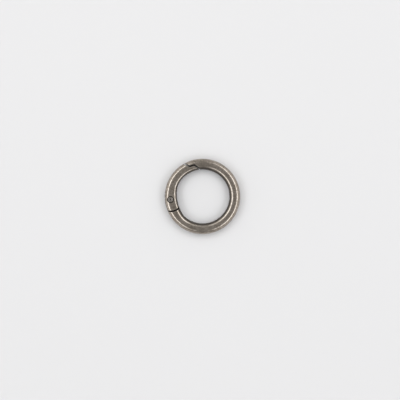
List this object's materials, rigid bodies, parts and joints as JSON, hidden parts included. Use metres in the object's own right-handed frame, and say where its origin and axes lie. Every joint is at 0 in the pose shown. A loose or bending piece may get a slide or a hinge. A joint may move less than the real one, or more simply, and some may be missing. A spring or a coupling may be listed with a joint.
{
  "type": "spring gate ring",
  "caption": "Round metal ring with a sprung curved gate that swings inwards on a rivet, so that keys, cords, straps or other rings can be hooked on.",
  "frame": {"origin": "centre of the ring in its middle plane", "axes": "+Z along the ring's axis, out of its upper face; +X across the ring, away from the hinge; +Y across the ring towards the gate's nose"},
  "size_m": [0.035, 0.035, 0.0044],
  "materials": {
    "cast_gunmetal": "polished",
    "rivet_steel": "satin",
    "plunger_steel": "satin",
    "spring_wire": "satin"
  },
  "bodies": {
    "ring": {"ring_body": "cast_gunmetal"},
    "gate": {"gate": "cast_gunmetal", "pivot_rivet": "rivet_steel", "gate_spring": "spring_wire"},
    "plunger": {"spring_plunger": "plunger_steel"}
  },
  "joints": [
    {"name": "gate_pivot", "type": "hinge", "parent": "ring", "child": "gate", "pos_m": [-0.01477, -0.0015, 0], "axis": [0, 0, -1], "range_deg": [0, 30], "stiffness_Nm_per_rad": 0.0162, "springref_deg": -26.44},
    {"name": "plunger_slide", "type": "slide", "parent": "gate", "child": "plunger", "axis": [-0.1011, 0.9949, 0], "range_m": [0, 0.0007], "deforming": ["gate_spring"]}
  ],
  "couplings": [
    {"joint": "plunger_slide", "follows": "gate_pivot", "m_per_rad": 0.001285}
  ]
}
